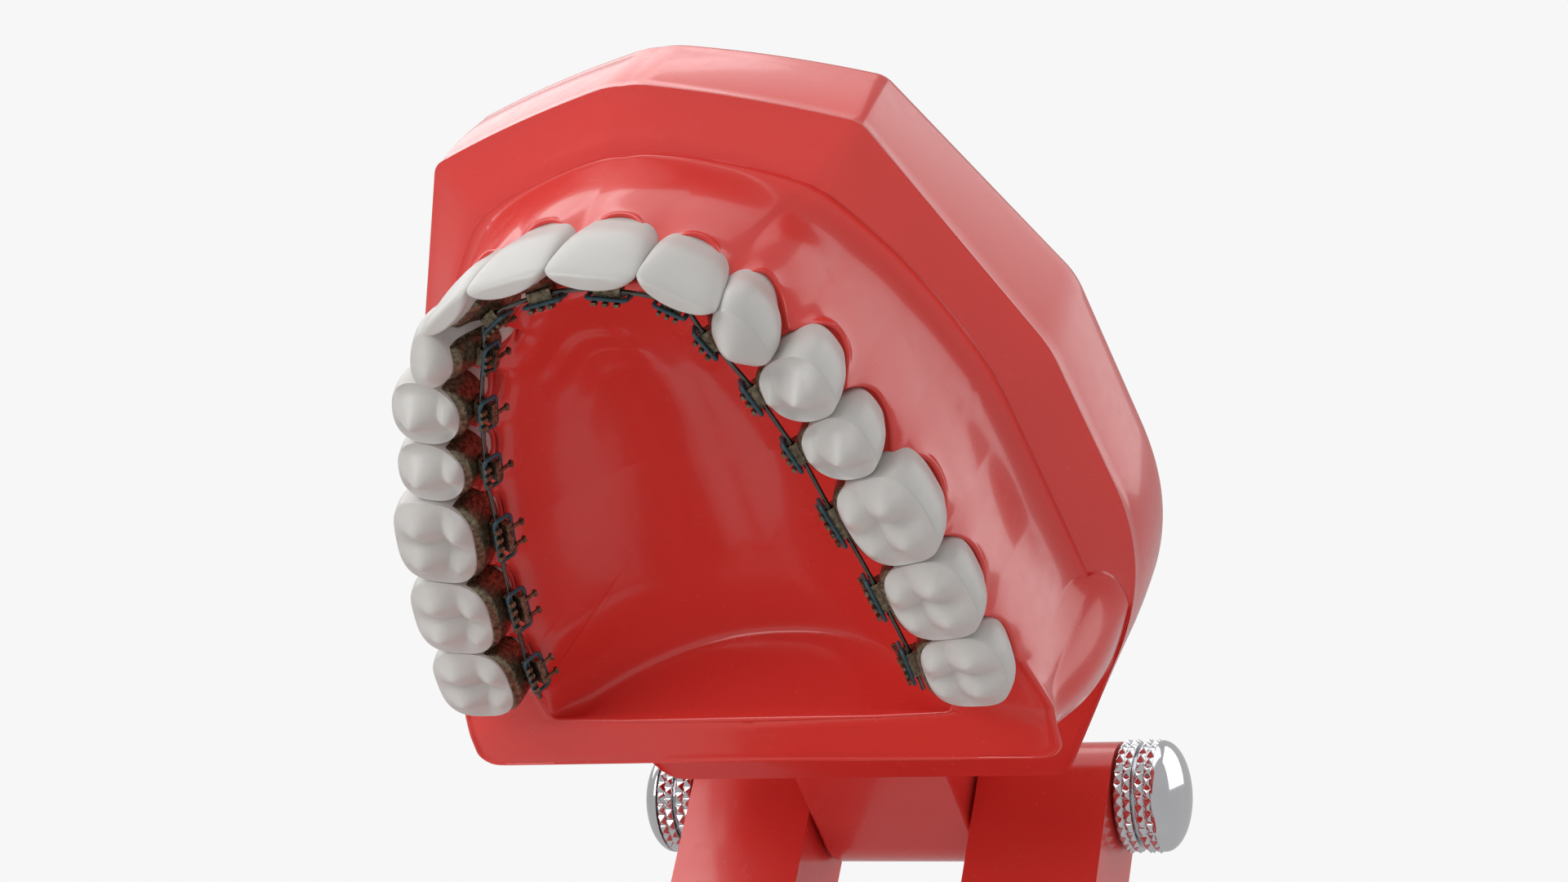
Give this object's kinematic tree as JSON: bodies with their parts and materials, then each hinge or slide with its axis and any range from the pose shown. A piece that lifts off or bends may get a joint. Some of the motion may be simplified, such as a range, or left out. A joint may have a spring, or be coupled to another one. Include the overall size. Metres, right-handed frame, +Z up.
{
  "type": "typodont model",
  "caption": "Hinged dental study model with upper and lower jaw casts, white teeth and lingual braces; the upper jaw opens on an axle with two knurled knobs.",
  "frame": {"origin": "centre of the flat underside of the lower base, on the table", "axes": "+X to the viewer's right when facing the front teeth, +Y toward the hinge at the back, +Z up"},
  "size_m": [0.0764, 0.1102, 0.1456],
  "materials": {
    "red_plastic": "gloss",
    "tooth": "satin",
    "bracket_steel": "grainy",
    "wire_steel": "drawn",
    "elastic": "matte",
    "chrome": "polished",
    "axle_steel": "turned"
  },
  "bodies": {
    "lower_jaw": {"lower_cast": "red_plastic", "left_hinge_arm": "red_plastic", "right_hinge_arm": "red_plastic", "hinge_axle": "axle_steel", "lower_archwire": "wire_steel", "lower_brackets": "bracket_steel", "lower_elastic_ties": "elastic", "lower_left_central_incisor": "tooth", "lower_left_lateral_incisor": "tooth", "lower_left_canine": "tooth", "lower_left_first_premolar": "tooth", "lower_left_second_premolar": "tooth", "lower_left_first_molar": "tooth", "lower_left_second_molar": "tooth", "lower_left_third_molar": "tooth", "lower_right_central_incisor": "tooth", "lower_right_lateral_incisor": "tooth", "lower_right_canine": "tooth", "lower_right_first_premolar": "tooth", "lower_right_second_premolar": "tooth", "lower_right_first_molar": "tooth", "lower_right_second_molar": "tooth", "lower_right_third_molar": "tooth"},
    "upper_jaw": {"upper_cast": "red_plastic", "upper_hinge_lug": "red_plastic", "upper_archwire": "wire_steel", "upper_brackets": "bracket_steel", "upper_elastic_ties": "elastic", "upper_left_central_incisor": "tooth", "upper_left_lateral_incisor": "tooth", "upper_left_canine": "tooth", "upper_left_first_premolar": "tooth", "upper_left_second_premolar": "tooth", "upper_left_first_molar": "tooth", "upper_left_second_molar": "tooth", "upper_left_third_molar": "tooth", "upper_right_central_incisor": "tooth", "upper_right_lateral_incisor": "tooth", "upper_right_canine": "tooth", "upper_right_first_premolar": "tooth", "upper_right_second_premolar": "tooth", "upper_right_first_molar": "tooth", "upper_right_second_molar": "tooth", "upper_right_third_molar": "tooth"},
    "knob_left": {"left_knob": "chrome"},
    "knob_right": {"right_knob": "chrome"}
  },
  "joints": [
    {"name": "jaw_open", "type": "hinge", "parent": "lower_jaw", "child": "upper_jaw", "pos_m": [0, 0.058, 0.0752], "axis": [-1, 0, 0], "range_deg": [-44, 46]},
    {"name": "left_knob_turn", "type": "hinge", "parent": "lower_jaw", "child": "knob_left", "pos_m": [0, 0.058, 0.0752], "axis": [-1, 0, 0], "continuous": true},
    {"name": "right_knob_turn", "type": "hinge", "parent": "lower_jaw", "child": "knob_right", "pos_m": [0, 0.058, 0.0752], "axis": [1, 0, 0], "continuous": true}
  ]
}
